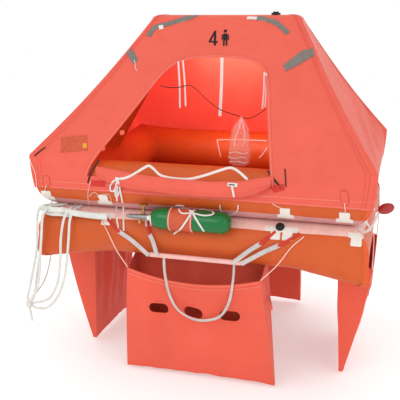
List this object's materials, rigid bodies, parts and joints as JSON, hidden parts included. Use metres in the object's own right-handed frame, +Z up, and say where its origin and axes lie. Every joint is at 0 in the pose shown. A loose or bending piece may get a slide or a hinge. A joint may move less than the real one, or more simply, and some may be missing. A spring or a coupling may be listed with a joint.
{
  "type": "inflatable life raft",
  "caption": "Inflatable life raft with stacked buoyancy tubes, a tent canopy with an open entrance, ballast bags, a boarding ladder and a gas cylinder.",
  "frame": {"origin": "middle of the raft, on the waterline of the empty raft", "axes": "+Z up; +X to the right along the entrance side; the entrance faces -Y"},
  "size_m": [2.1011, 1.7205, 2.1394],
  "materials": {
    "canopy_fabric": "coated nylon, soft sheen",
    "tube_fabric": "rubber-coated fabric, satin",
    "bag_fabric": "coated nylon, matt",
    "floor_fabric": "rubber-coated fabric, matt",
    "patch_rubber": "pale rubberised tape, matt",
    "webbing": "woven webbing",
    "cylinder_paint": "gloss paint",
    "steel": "plated",
    "brass": "cast, dull",
    "black_plastic": "moulded",
    "float_plastic": "moulded foam skin",
    "rope": "braided tubular webbing"
  },
  "bodies": {
    "root": {"arch_tube": "tube_fabric", "bag_front": "bag_fabric", "bag_front_line_1": "webbing", "bag_front_line_2": "webbing", "bag_left": "bag_fabric", "bag_left_line_1": "webbing", "bag_left_line_2": "webbing", "bag_rear": "bag_fabric", "bag_rear_line_1": "webbing", "bag_rear_line_2": "webbing", "bag_right": "bag_fabric", "bag_right_line_1": "webbing", "bag_right_line_2": "webbing", "bridle_knot": "rope", "bridle_strand_1": "rope", "bridle_strand_2": "rope", "bridle_strand_3": "rope", "bridle_strand_4": "rope", "bridle_strand_5": "rope", "bridle_strand_6": "rope", "bridle_tail": "rope", "canopy_front": "canopy_fabric", "canopy_lamp": "black_plastic", "canopy_left": "canopy_fabric", "canopy_rear": "canopy_fabric", "canopy_right": "canopy_fabric", "cylinder_strap": "canopy_fabric", "door_roll": "canopy_fabric", "floor": "floor_fabric", "foot_loop": "webbing", "gas_cylinder": "cylinder_paint", "inlet_pipe": "brass", "ladder_rung": "webbing", "ladder_strap_1": "webbing", "ladder_strap_2": "webbing", "ladder_strap_3": "webbing", "ladder_strap_4": "webbing", "line_float": "float_plastic", "lower_grab_band": "patch_rubber", "lower_tube": "tube_fabric", "relief_valve": "black_plastic", "upper_grab_band": "patch_rubber", "upper_tube": "tube_fabric", "valve_head": "steel"}
  },
  "joints": []
}
